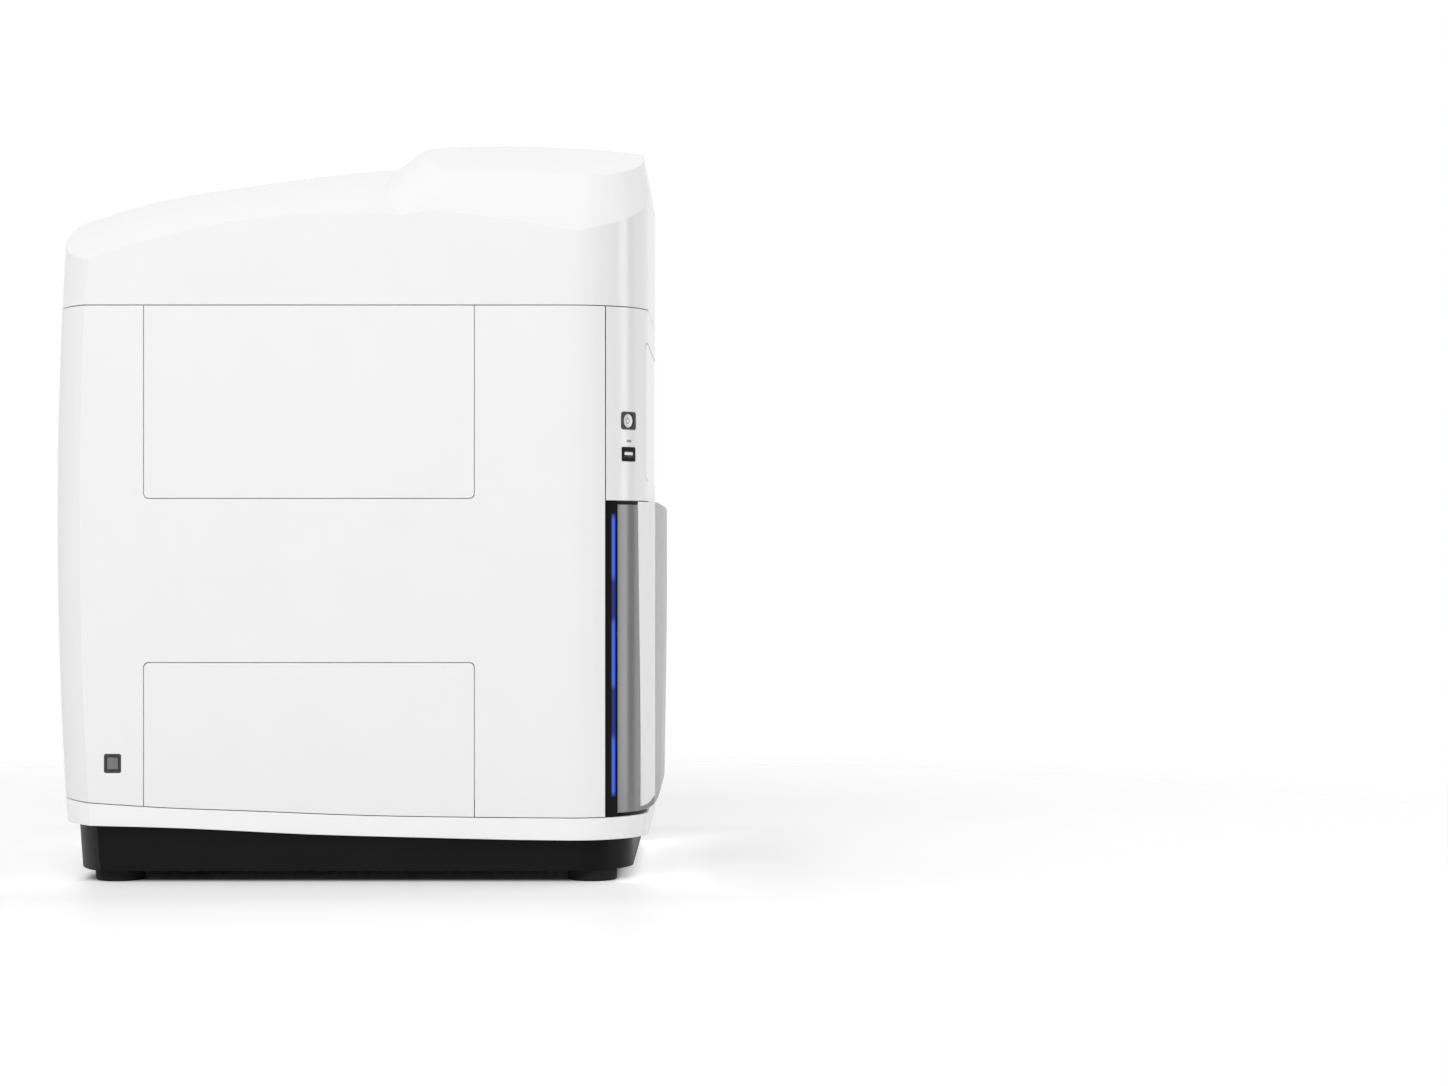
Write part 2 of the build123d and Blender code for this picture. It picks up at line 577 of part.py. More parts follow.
def connectors():
    inlet = block(73, 103, 282, 312, 105, 129) - block(77, 99, 292, 320, 110, 124)
    for x in (82, 88, 94):
        inlet = inlet + block(x - 1, x + 1, 286, 300, 115, 119)
    inlet = inlet & rear_form(-1.2)
    ports = block(-103, -45, 284, 312, 107, 127) & rear_form(-0.8)
    ports = ports - block(-99, -85, 292, 320, 110, 124) - block(-81, -67, 292, 320, 110, 124)
    for x in (-61, -52):
        ports = ports - block(x - 3, x + 3, 292, 320, 110, 124)
    back = block(76, 84, 282, 290, PLATE_Z1, 105) + block(-90, -60, 284, 290, PLATE_Z1, 107)
    return inlet, ports, back


def save(name, shape):
    shape.label = name
    export_step(shape, os.path.join("parts", name + ".step"))


def main():
    skirt, fascia, left, right, back, inner = build_shells()
    upper_cover, lower_cover, upper_hole, lower_hole, ledges = covers()
    bezel_cut, bezel, button, usb_cut, usb = controls()
    switch_cut, switch_bezel, switch = switch_parts()
    pocket, status = status_panel()
    plinth, plate = base_parts()
    housing, bar = light_bar_parts()
    frame, window, panel, liner, pull, gasket = door_parts()
    liner_box, magnet = bay()
    rail, table, gripper, screw = lift()
    base, cross, holder, glass = stage()
    column, carriage, tube, turret, lamp = optics()
    wall, supply, board, fan, rotor = electronics(inner)
    inlet, ports, back_posts = connectors()
    save("base_plinth", plinth)
    save("base_plate", plate + back_posts)
    save("feet", Compound(children=grid(foot, (-FOOT_X, FOOT_X), FOOT_Y)))
    save("skirt", skirt)
    save("left_side_panel", left - upper_hole - lower_hole - switch_cut + ledges)
    save("right_side_panel", right)
    save("rear_panel", back - rear_openings())
    save("hood", hood_part())
    save("front_fascia", fascia - bezel_cut - usb_cut - pocket)
    save("status_panel", status)
    save("light_bar_housing", housing)
    save("light_bar", bar)
    save("power_button_bezel", bezel)
    save("power_button", button)
    save("usb_port", usb)
    save("main_switch_bezel", switch_bezel)
    save("main_switch", switch)
    save("left_upper_cover", upper_cover)
    save("left_lower_cover", lower_cover)
    save("door_frame", frame)
    save("door_window", window)
    save("door_front_panel", panel)
    save("door_liner", liner)
    save("door_pull", pull)
    save("door_gasket", gasket)
    save("door_bushings", door_bushings())
    save("hinge_pins", hinge_pins())
    save("chassis_frame", chassis())
    save("optics_deck", deck())
    save("bay_liner", liner_box)
    save("door_magnet", magnet)
    save("magazine_rack", rack())
    for number, level in enumerate(TRAY_LEVELS, 1):
        tray_body, slides = tray(level)
        save("tray_%d" % number, tray_body)
        save("slides_%d" % number, slides)
    save("lift_column", rail)
    save("lift_carriage", table)
    save("gripper", gripper)
    save("lift_screw", screw)
    save("stage_base", base)
    save("stage_cross_slide", cross)
    save("stage_holder", holder)
    save("stage_slide", glass)
    save("optics_column", column)
    save("focus_carriage", carriage)
    save("imaging_camera", tube)
    save("objective_turret", turret)
    save("illuminator", lamp)
    save("bulkhead", wall)
    save("power_supply", supply)
    save("control_board", board)
    save("fan_frame", fan)
    save("fan_rotor", rotor)
    save("mains_inlet", inlet)
    save("data_ports", ports)


main()
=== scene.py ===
import math
import bpy
import bmesh
from mathutils import Matrix, Vector


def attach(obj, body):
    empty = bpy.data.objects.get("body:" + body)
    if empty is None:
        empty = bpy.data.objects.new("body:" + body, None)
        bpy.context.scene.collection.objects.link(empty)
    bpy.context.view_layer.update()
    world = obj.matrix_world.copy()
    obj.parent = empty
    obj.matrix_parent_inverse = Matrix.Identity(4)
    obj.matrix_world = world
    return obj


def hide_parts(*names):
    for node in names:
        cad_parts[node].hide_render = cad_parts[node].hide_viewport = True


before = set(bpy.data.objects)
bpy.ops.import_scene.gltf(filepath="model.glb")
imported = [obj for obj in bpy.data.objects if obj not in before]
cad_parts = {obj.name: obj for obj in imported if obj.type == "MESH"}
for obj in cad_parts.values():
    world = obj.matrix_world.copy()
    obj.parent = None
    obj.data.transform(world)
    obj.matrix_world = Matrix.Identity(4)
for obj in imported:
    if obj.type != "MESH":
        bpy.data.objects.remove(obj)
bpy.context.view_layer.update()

# Driving places and sizes, the same as on the part
HALF_WIDTH = 0.225
FRONT = -0.2945
REAR = 0.3105
CORNER_R = 0.079
CORNER_X = -HALF_WIDTH + CORNER_R
CORNER_Y = FRONT + CORNER_R
BOW_R = 4.56
BOW_Z = 0.365
CONTROL_ANGLE = math.radians(50.1)
BUTTON_Z = 0.4644
MARK_Z = 0.4439
USB_Z = 0.4306
SWITCH = (0.2395, 0.1205)
DOOR_EDGE_ANGLE = math.radians(38.9)
WINDOW_TOP_ANGLE = math.radians(61.2)
WINDOW_BAND_Z = (0.3797, 0.3829)
WINDOW_FOOT_Z = (0.0699, 0.0745)
STRIP_ANGLE = math.radians(62.9)
STRIP_START = (CORNER_X - CORNER_R * math.cos(STRIP_ANGLE), CORNER_Y - CORNER_R * math.sin(STRIP_ANGLE))
STRIP_END = (-0.152, -0.3011)
STATUS_PANEL = (0.3352, 0.1390, 0.475, 0.0085)  # width, height, middle height, corner radius
LIGHT_Y = (-0.2632, -0.2584)
LIGHT_Z = (0.086, 0.371)
FEET = [(x, y) for x in (-0.178, 0.178) for y in (0.2404, -0.2383)]
FOOT_R = 0.025
OPTIC_Y = -0.060
TURRET_Y = -0.030
OBJECTIVES = (0.062, 0.050, 0.044, 0.056)
SCREW = (0.034, 0.147)
SLIDE_PITCH = 0.0286
TRAY_LEVELS = (2, 4, 6, 8)
RACK_FOOT = 0.0943
RACK_PITCH = 0.024
DECK_TOP = 0.402
STAGE_TOP = 0.416
HOLDER_TOP = 0.442
BOARD_FACE = 0.178

# ---- materials ----------------------------------------------------------------------------


def new_material(name):
    material = bpy.data.materials.new(name)
    material.use_nodes = True
    nodes = material.node_tree.nodes
    return material, nodes, material.node_tree.links, nodes["Principled BSDF"]


def noise(nodes, links, coord, scale, detail=2.0):
    node = nodes.new("ShaderNodeTexNoise")
    node.inputs["Scale"].default_value = scale
    node.inputs["Detail"].default_value = detail
    links.new(coord, node.inputs["Vector"])
    return node.outputs["Fac"]


def ramp(nodes, links, value, stops):
    node = nodes.new("ShaderNodeValToRGB")
    elements = node.color_ramp.elements
    while len(elements) < len(stops):
        elements.new(0.5)
    for element, (place, colour) in zip(elements, stops):
        element.position = place
        element.color = (*colour, 1.0)
    links.new(value, node.inputs["Fac"])
    return node.outputs["Color"]


def map_range(nodes, links, value, source, target):
    node = nodes.new("ShaderNodeMapRange")
    node.inputs["From Min"].default_value, node.inputs["From Max"].default_value = source
    node.inputs["To Min"].default_value, node.inputs["To Max"].default_value = target
    links.new(value, node.inputs["Value"])
    return node.outputs["Result"]


def math_node(nodes, links, operation, first, second):
    node = nodes.new("ShaderNodeMath")
    node.operation = operation
    for socket, value in zip(node.inputs, (first, second)):
        if isinstance(value, (int, float)):
            socket.default_value = value
        else:
            links.new(value, socket)
    return node.outputs[0]


def surface(name, colour, rough, metallic=0.0, spread=0.03, grain=(900.0, 0.02), bevel=0.0006,
            coat=0.0, stretch=None, rough_spread=0.05, specular=0.5):
    """A moulded, painted or machined surface: faint mottle, fine grain and softened edges."""
    material, nodes, links, bsdf = new_material(name)
    coord = nodes.new("ShaderNodeTexCoord").outputs["Object"]
    if stretch:
        mapping = nodes.new("ShaderNodeMapping")
        mapping.inputs["Scale"].default_value = stretch
        links.new(coord, mapping.inputs["Vector"])
        coord = mapping.outputs["Vector"]
    low = tuple(c * (1 - spread) for c in colour)
    high = tuple(min(c * (1 + spread), 1.0) for c in colour)
    mottle = noise(nodes, links, coord, 14.0, 3.0)
    links.new(ramp(nodes, links, mottle, [(0.3, low), (0.7, high)]), bsdf.inputs["Base Color"])
    smudges = noise(nodes, links, coord, 60.0, 4.0)
    limits = (max(rough - rough_spread, 0.02), min(rough + rough_spread, 1.0))
    links.new(map_range(nodes, links, smudges, (0.0, 1.0), limits), bsdf.inputs["Roughness"])
    bump = nodes.new("ShaderNodeBump")
    bump.inputs["Strength"].default_value = grain[1]
    bump.inputs["Distance"].default_value = 0.0004
    links.new(noise(nodes, links, coord, grain[0], 3.0), bump.inputs["Height"])
    if bevel:
        edge = nodes.new("ShaderNodeBevel")
        edge.samples = 4
        edge.inputs["Radius"].default_value = bevel
        links.new(edge.outputs["Normal"], bump.inputs["Normal"])
    links.new(bump.outputs["Normal"], bsdf.inputs["Normal"])
    bsdf.inputs["Metallic"].default_value = metallic
    bsdf.inputs["Specular IOR Level"].default_value = specular
    bsdf.inputs["Coat Weight"].default_value = coat
    bsdf.inputs["Coat Roughness"].default_value = 0.12
    return material


def glass(name, colour, rough=0.02):
    material, nodes, links, bsdf = new_material(name)
    coord = nodes.new("ShaderNodeTexCoord").outputs["Object"]
    tint = tuple(c * 0.94 for c in colour)
    shade = ramp(nodes, links, noise(nodes, links, coord, 40.0), [(0.3, tint), (0.7, colour)])
    links.new(shade, bsdf.inputs["Base Color"])
    bsdf.inputs["Transmission Weight"].default_value = 1.0
    bsdf.inputs["Roughness"].default_value = rough
    bsdf.inputs["IOR"].default_value = 1.5
    return material


def lit_bar():
    """The lit bar beside the door: three bright lengths, dimmer between and at both edges."""
    material, nodes, links, bsdf = new_material("lit_diffuser")
    split = nodes.new("ShaderNodeSeparateXYZ")
    links.new(nodes.new("ShaderNodeTexCoord").outputs["Object"], split.inputs["Vector"])
    along = map_range(nodes, links, split.outputs["Z"], LIGHT_Z, (0.0, 1.0))
    dim = (0.016, 0.030, 0.25)
    lit = (0.064, 0.155, 0.92)
    end = (0.003, 0.006, 0.05)
    stops = [(0.0, end), (0.020, lit), (0.195, lit), (0.225, dim), (0.375, dim), (0.40, lit),
             (0.605, lit), (0.635, dim), (0.755, dim), (0.785, lit), (0.978, lit), (1.0, end)]
    glow = ramp(nodes, links, along, stops)
    middle = (LIGHT_Y[0] + LIGHT_Y[1]) / 2
    off = math_node(nodes, links, "SUBTRACT", split.outputs["Y"], middle)
    off = math_node(nodes, links, "ABSOLUTE", off, 0.0)
    across = map_range(nodes, links, off, (0.0002, 0.0022), (1.0, 0.08))
    links.new(glow, bsdf.inputs["Emission Color"])
    links.new(across, bsdf.inputs["Emission Strength"])
    bsdf.inputs["Base Color"].default_value = (0.004, 0.006, 0.05, 1)
    bsdf.inputs["Roughness"].default_value = 0.35
    bsdf.inputs["Specular IOR Level"].default_value = 0.2
    return material


def stained_tissue():
    """Stained tissue under its cover glass: pink with darker purple patches."""
    material, nodes, links, bsdf = new_material("stained_tissue")
    coord = nodes.new("ShaderNodeTexCoord").outputs["Object"]
    patches = noise(nodes, links, coord, 420.0, 6.0)
    stops = [(0.30, (0.30, 0.08, 0.32)), (0.45, (0.62, 0.20, 0.46)), (0.60, (0.86, 0.48, 0.62)),
             (0.75, (0.95, 0.80, 0.86))]
    links.new(ramp(nodes, links, patches, stops), bsdf.inputs["Base Color"])
    bsdf.inputs["Roughness"].default_value = 0.3
    return material


WHITE = surface("white_moulding", (0.80, 0.80, 0.80), 0.20, spread=0.006, grain=(1500.0, 0.01), bevel=0.0012)
# The skirt's white is a paler copy of the white moulding (0.85 against 0.80): painted light that brightens the
# skirt
SKIRT_WHITE_PAINTED_LIGHT = surface("white_skirt_painted_light", (0.85, 0.85, 0.85), 0.22, spread=0.006, grain=(1500.0, 0.01),
                   bevel=0.0012)
PAINT = surface("white_powder_coat", (0.80, 0.80, 0.80), 0.44, spread=0.006, grain=(1100.0, 0.04),
                bevel=0.0005)
LINER = surface("white_liner", (0.70, 0.70, 0.70), 0.6, spread=0.02, grain=(1600.0, 0.06))
BLACK = surface("black_satin_paint", (0.004, 0.004, 0.004), 0.42, spread=0.12, grain=(1200.0, 0.06),
                bevel=0.002, specular=0.12)
RUBBER = surface("black_rubber_skin", (0.014, 0.014, 0.014), 0.70, spread=0.2, grain=(2200.0, 0.12),
                 bevel=0.001, specular=0.2)
BLACK_PLASTIC = surface("black_moulding", (0.004, 0.004, 0.005), 0.42, spread=0.1, grain=(1800.0, 0.10),
                        specular=0.12)
DARK = surface("dark_grey_moulding", (0.040, 0.040, 0.043), 0.40, spread=0.08, grain=(1800.0, 0.08),
               specular=0.3)
GREY = surface("mid_grey_moulding", (0.15, 0.15, 0.155), 0.35, spread=0.04, grain=(1800.0, 0.05))
SILVER = surface("silver_key", (0.82, 0.82, 0.82), 0.28, spread=0.03, grain=(1800.0, 0.04), coat=0.3)
IVORY = surface("pale_insulator", (0.90, 0.90, 0.89), 0.45, spread=0.03, grain=(1800.0, 0.04))
SMOKED = surface("smoked_grey_window", (0.17, 0.17, 0.175), 0.24, spread=0.03, grain=(1500.0, 0.002), coat=0.5,
                 bevel=0, rough_spread=0.02)
SATIN = surface("satin_grey_panel", (0.20, 0.20, 0.205), 0.26, spread=0.03, grain=(1500.0, 0.002),
                bevel=0, rough_spread=0.02)
STEEL = surface("zinc_plated_sheet", (0.55, 0.56, 0.57), 0.34, 1.0, spread=0.14, grain=(700.0, 0.10),
                rough_spread=0.12)
GROUND = surface("ground_steel", (0.66, 0.66, 0.66), 0.22, 1.0, spread=0.06, grain=(900.0, 0.12),
                 stretch=(1, 1, 12))
ALLOY = surface("machined_alloy", (0.72, 0.72, 0.73), 0.34, 1.0, spread=0.05, grain=(1600.0, 0.12),
                stretch=(1, 14, 1))
ANODISED = surface("black_anodised_alloy", (0.025, 0.025, 0.028), 0.40, 0.6, spread=0.12, grain=(2400.0, 0.10))
TRAY = surface("tray_moulding", (0.22, 0.24, 0.27), 0.5, spread=0.05, grain=(2000.0, 0.10))
BOARD = surface("solder_mask", (0.015, 0.13, 0.05), 0.30, spread=0.25, grain=(500.0, 0.08), coat=0.4)
BRASS = surface("gilded_contact", (0.80, 0.58, 0.22), 0.25, 1.0, spread=0.08)
MARK = surface("printed_grey_mark", (0.06, 0.06, 0.065), 0.6, spread=0.05, bevel=0)
DASH = surface("printed_pale_dash", (0.26, 0.26, 0.27), 0.6, spread=0.05, bevel=0)
FROSTED = surface("frosted_label_end", (0.86, 0.87, 0.88), 0.7, spread=0.02, grain=(3000.0, 0.10), bevel=0)
RINGS = [surface("objective_ring_" + name, colour, 0.4, spread=0.04, bevel=0.0002)
         for name, colour in (("red", (0.55, 0.03, 0.02)), ("yellow", (0.80, 0.52, 0.03)),
                              ("green", (0.03, 0.28, 0.06)), ("blue", (0.03, 0.16, 0.55)))]
GLASS = glass("slide_glass", (0.90, 0.97, 0.96))
LENS = glass("coated_lens", (0.75, 0.70, 0.90))
LIT = lit_bar()
TISSUE = stained_tissue()

NODE_MATERIALS = {
    "base_plinth": BLACK, "base_plate": STEEL, "feet": RUBBER, "skirt": SKIRT_WHITE_PAINTED_LIGHT,
    "left_side_panel": PAINT, "right_side_panel": PAINT, "rear_panel": PAINT,
    "left_upper_cover": PAINT, "left_lower_cover": PAINT, "hood": WHITE, "front_fascia": WHITE,
    "status_panel": WHITE, "light_bar_housing": BLACK_PLASTIC, "light_bar": LIT,
    "power_button_bezel": DARK, "power_button": DARK, "usb_port": BLACK_PLASTIC,
    "main_switch_bezel": DARK, "main_switch": GREY, "door_frame": WHITE, "door_window": SMOKED,
    "door_front_panel": SATIN, "door_liner": LINER, "door_pull": DARK, "door_gasket": RUBBER,
    "door_bushings": LINER, "hinge_pins": GROUND, "door_magnet": STEEL,
    "chassis_frame": STEEL, "optics_deck": ALLOY, "bay_liner": BLACK, "magazine_rack": ALLOY,
    "lift_column": ALLOY, "lift_carriage": ALLOY, "gripper": ANODISED, "lift_screw": GROUND,
    "stage_base": ALLOY, "stage_cross_slide": ANODISED, "stage_holder": ANODISED,
    "stage_slide": GLASS, "optics_column": ALLOY, "focus_carriage": ANODISED,
    "imaging_camera": ANODISED, "objective_turret": GROUND, "illuminator": ANODISED,
    "bulkhead": STEEL, "power_supply": STEEL, "control_board": BOARD,
    "fan_frame": BLACK_PLASTIC, "fan_rotor": BLACK_PLASTIC, "mains_inlet": BLACK_PLASTIC,
    "data_ports": BLACK_PLASTIC,
}


def dress_nodes():
    for number in range(1, len(TRAY_LEVELS) + 1):
        NODE_MATERIALS["tray_%d" % number] = TRAY
        NODE_MATERIALS["slides_%d" % number] = GLASS
    for name, material in NODE_MATERIALS.items():
        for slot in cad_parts[name].material_slots:
            slot.material = material


# ---- shapes -------------------------------------------------------------------------------

def corner_matrix(z, out=0.0):
    """On the rounded front corner at the controls: x along it, y up, z outwards."""
    a = CONTROL_ANGLE
    r = CORNER_R + out
    place = Vector((CORNER_X - r * math.cos(a), CORNER_Y - r * math.sin(a), z))
    columns = ((math.sin(a), -math.cos(a), 0), (0, 0, 1), (-math.cos(a), -math.sin(a), 0))
    return Matrix.Translation(place) @ Matrix(columns).transposed().to_4x4()


def facing(place, outwards):
    """A frame at a place, x level, y upwards, z along one of the axes."""
    z = Vector(outwards)
    y = Vector((0, 1, 0)) if abs(z.z) > 0.5 else Vector((0, 0, 1))
    x = y.cross(z)
    return Matrix.Translation(Vector(place)) @ Matrix((x, y, z)).transposed().to_4x4()


def rear_y(z):
    return REAR - BOW_R + math.sqrt(BOW_R ** 2 - (z - BOW_Z) ** 2)


def rounded_outline(width, height, radius, steps=6):
    points = []
    for cx, cy, start in ((1, 1, 0), (-1, 1, 90), (-1, -1, 180), (1, -1, 270)):
        for i in range(steps + 1):
            a = math.radians(start + 90 * i / steps)
            points.append((cx * (width / 2 - radius) + radius * math.cos(a),
                           cy * (height / 2 - radius) + radius * math.sin(a)))
    return points


def add_rings(bm, rings, matrix):
    """Skins a stack of rings, each a list of points, and closes both ends."""
    rows = [[bm.verts.new(matrix @ Vector(p)) for p in ring] for ring in rings]
    for low, high in zip(rows, rows[1:]):
        for i in range(len(low)):
            j = (i + 1) % len(low)
            bm.faces.new((low[i], low[j], high[j], high[i]))
    bm.faces.new(list(reversed(rows[0])))
    bm.faces.new(rows[-1])


def add_slab(bm, matrix, width, height, depth, radius, soft=0.0002, base=0.0):
    """A plate with rounded corners and a softened front edge, from base outwards."""
    rings = []
    for inset, z in ((0, base), (0, base + depth - soft), (soft * 0.3, base + depth - soft * 0.3),
                     (soft, base + depth)):
        outline = rounded_outline(width - 2 * inset, height - 2 * inset, max(radius - inset, soft * 0.1))
        rings.append([(x, y, z) for x, y in outline])
    add_rings(bm, rings, matrix)


def add_turned(bm, matrix, profile, segments=32):
    """A turned shape from (radius, height) pairs."""
    rings = []
    for r, z in profile:
        rings.append([(r * math.cos(math.tau * i / segments), r * math.sin(math.tau * i / segments), z)
                      for i in range(segments)])
    add_rings(bm, rings, matrix)


def add_arc(bm, matrix, radius, width, height, start, stop, steps=28):
    """A flat bent strip, as a printed or raised mark."""
    for i in range(steps):
        corners = []
        for j in (i, i + 1):
            a = math.radians(start + (stop - start) * j / steps)
            edges = (radius - width / 2, radius + width / 2)
            corners.append([(r * math.cos(a), r * math.sin(a)) for r in edges])
        quad = (corners[0][0], corners[0][1], corners[1][1], corners[1][0])
        bm.faces.new([bm.verts.new(matrix @ Vector((x, y, height))) for x, y in quad])


def add_screw(bm, matrix, radius=0.003, rise=0.0022):
    """A button-head screw with a six-sided socket."""
    segments = 24
    socket = radius * 0.5
    turns = [math.tau * i / segments for i in range(segments)]
    head = ((1.0, -0.0002), (1.0, rise * 0.35), (0.9, rise * 0.72), (0.72, rise * 0.95), (0.58, rise))
    rings = [[(radius * k * math.cos(a), radius * k * math.sin(a), h) for a in turns] for k, h in head]
    inner = []
    for a in turns:
        reach = socket * math.cos(math.pi / 6) / math.cos((a % (math.pi / 3)) - math.pi / 6)
        inner.append((reach * math.cos(a), reach * math.sin(a)))
    rings.append([(x, y, rise) for x, y in inner])
    rings.append([(x * 0.98, y * 0.98, rise * 0.35) for x, y in inner])
    add_rings(bm, rings, matrix)


def piece(name, body, material, build, sharp=35.0):
    """Makes a named piece from a bmesh routine, smooth but for its sharp edges."""
    bm = bmesh.new()
    build(bm)
    bmesh.ops.remove_doubles(bm, verts=bm.verts, dist=1e-6)
    bmesh.ops.recalc_face_normals(bm, faces=bm.faces)
    mesh = bpy.data.meshes.new(name)
    bm.to_mesh(mesh)
    bm.free()
    mesh.shade_smooth()
    mesh.set_sharp_from_angle(angle=math.radians(sharp))
    mesh.materials.append(material)
    obj = bpy.data.objects.new(name, mesh)
    bpy.context.collection.objects.link(obj)
    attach(obj, body)
    return obj


# ---- outside ------------------------------------------------------------------------------

def power_key():
    face = corner_matrix(BUTTON_Z, -0.0020)
    dish = [(0.0071, -0.0002), (0.0071, 0.00035), (0.0068, 0.00055), (0.0063, 0.00045),
            (0.0048, 0.0002), (0.0025, 0.00008), (0.0004, 0.00005)]
    piece("power_key_dish", "power_key", SILVER, lambda bm: add_turned(bm, face, dish, 48))

    def mark(bm):
        add_arc(bm, face, 0.0026, 0.0006, 0.00022, 122, 418)
        add_slab(bm, face @ Matrix.Translation((0, 0.0026, 0)), 0.0006, 0.0026, 0.00024, 0.0002, 0.00002)
    piece("power_key_mark", "power_key", MARK, mark)


def usb_detail():
    face = corner_matrix(USB_Z)
    tongue = face @ Matrix.Translation((0, 0.0006, 0))
    piece("usb_tongue", "housing", IVORY,
          lambda bm: add_slab(bm, tongue, 0.0129, 0.0030, 0.0068, 0.0006, 0.0003, -0.0072))

    def contacts(bm):
        for i in range(4):
            place = tongue @ Matrix.Translation(((i - 1.5) * 0.0025, -0.0016, 0))
            add_slab(bm, place, 0.0011, 0.0003, 0.0038, 0.0001, 0.00005, -0.0068)
    piece("usb_contacts", "housing", BRASS, contacts)

    def shell(bm):
        for sign in (-1, 1):
            add_slab(bm, face @ Matrix.Translation((0, sign * 0.00265, 0)), 0.0130, 0.0003, 0.0070, 0.0001,
                     0.00005, -0.0075)
            add_slab(bm, face @ Matrix.Translation((sign * 0.00645, 0, 0)), 0.0003, 0.0052, 0.0070, 0.0001,
                     0.00005, -0.0075)
    piece("usb_shell", "housing", STEEL, shell)


def corner_dash():
    """A short plain printed dash that follows the rounded corner."""
    half, high, steps = 0.0034, 0.0012, 10

    def build(bm):
        rows = []
        for i in range(steps + 1):
            s = -half + 2 * half * i / steps
            a = CONTROL_ANGLE - s / CORNER_R
            r = CORNER_R + 0.00006
            end = math.sqrt(max(half ** 2 - s ** 2, 0)) / half
            tall = high * min(1.0, 0.45 + end)
            x, y = CORNER_X - r * math.cos(a), CORNER_Y - r * math.sin(a)
            rows.append([bm.verts.new((x, y, MARK_Z + sign * tall)) for sign in (-1, 1)])
        for low, high_row in zip(rows, rows[1:]):
            bm.faces.new((low[0], high_row[0], high_row[1], low[1]))
    piece("corner_dash", "housing", DASH, build)


def side_switch():
    face = facing((-HALF_WIDTH + 0.0003, *SWITCH), (-1, 0, 0))

    def build(bm):
        add_slab(bm, face, 0.0100, 0.0110, 0.0006, 0.0012, 0.0004, -0.0008)
    piece("side_switch_cap", "main_switch_key", GREY, build)


def foot_rings():
    """Moulded ribs round each foot."""
    def build(bm):
        for x, y in FEET:
            for z in (0.0040, 0.0062, 0.0084):
                profile = [(FOOT_R - 0.0004, z - 0.0007), (FOOT_R + 0.0003, z - 0.0003),
                           (FOOT_R + 0.0003, z + 0.0003), (FOOT_R - 0.0004, z + 0.0007)]
                add_turned(bm, Matrix.Translation((x, y, 0)), profile, 64)
    piece("foot_ribs", "housing", RUBBER, build)


def rear_screws():
    """Screws in the rear panel and the fan, set in so far that no head passes the bowed rear."""
    def build(bm):
        panel = [(x, z, 0.0034, 0.0020) for x in (-0.126, 0.126) for z in (0.100, 0.250, 0.400, 0.560)]
        fan = [(x, z, 0.0028, 0.0016) for x in (-0.036, 0.036) for z in (0.443, 0.527)]
        for x, z, radius, rise in panel + fan:
            foot = min(rear_y(z) - 0.0001, REAR - 0.00005 - rise)
            add_screw(bm, facing((x, foot, z), (0, 1, 0)), radius, rise)
    piece("rear_screws", "housing", GROUND, build)


def rear_sockets():
    """Contacts in the mains inlet and the data ports."""
    def pins(bm):
        for x in (0.082, 0.088, 0.094):
            add_slab(bm, facing((x, 0.2920, 0.117), (0, 1, 0)), 0.0022, 0.0042, 0.0084, 0.0004, 0.0004)
    piece("inlet_pins", "housing", GROUND, pins)

    def jacks(bm):
        for x in (-0.092, -0.074):
            for i in range(8):
                place = facing((x + (i - 3.5) * 0.00102, 0.2920, 0.1205), (0, 1, 0))
                add_slab(bm, place, 0.00045, 0.0050, 0.0060, 0.0001, 0.0001)
    piece("network_contacts", "housing", BRASS, jacks)

    def tongues(bm):
        for x in (-0.061, -0.052):
            add_slab(bm, facing((x - 0.0008, 0.2920, 0.117), (0, 1, 0)), 0.0020, 0.0118, 0.0120, 0.0003, 0.0003)
    piece("data_port_tongues", "housing", IVORY, tongues)


def corner_path(start, stop, steps, out):
    """Points in plan along the rounded front corner, from one angle to another."""
    r = CORNER_R + out
    angles = [start + (stop - start) * i / steps for i in range(steps + 1)]
    return [(CORNER_X - r * math.cos(a), CORNER_Y - r * math.sin(a)) for a in angles]


def add_band(bm, points, lows, highs):
    """An upright film along points in plan, between a low and a high edge."""
    rows = [[bm.verts.new((x, y, z)) for z in (low, high)] for (x, y), low, high in zip(points, lows, highs)]
    for left, right in zip(rows, rows[1:]):
        bm.faces.new((left[0], right[0], right[1], left[1]))


def door_foot_z(y):
    """Height of the door's rounded lower edge."""
    reach = min(max(-0.289 - y, 0.0), 0.017)
    return 0.0867 - math.sqrt(0.017 ** 2 - reach ** 2)


def window_borders():
    """The window's black band at the top, painted shadow that stands for the dark gap under the fascia; the
    window's foot; and the panel's edge below the strip.
    """
    # The top band is painted shadow in black moulding colour, put where the gap under the fascia is in shade
    for name, slot, material, stop, heights in (
            ("window_border", "black_plastic", BLACK_PLASTIC, WINDOW_TOP_ANGLE, WINDOW_BAND_Z),
            ("window_foot", "satin_grey", SMOKED, STRIP_ANGLE, WINDOW_FOOT_Z)):
        path = corner_path(DOOR_EDGE_ANGLE, stop, 14, 0.00008)
        lows, highs = ([height] * len(path) for height in heights)
        piece(name, "door", material, lambda bm: add_band(bm, path, lows, highs))
    normal = Vector((STRIP_START[1] - STRIP_END[1], STRIP_END[0] - STRIP_START[0])).normalized()
    along = [Vector(STRIP_START).lerp(Vector(STRIP_END), i / 12) + normal * -0.00012 for i in range(13)]
    lows = [door_foot_z(p.y) + 0.0001 for p in along]
    highs = [low + 0.0042 + 0.0040 * (i / 12) ** 3 for i, low in enumerate(lows)]
    piece("panel_foot", "door", SATIN,
          lambda bm: add_band(bm, [tuple(p) for p in along], lows, highs))


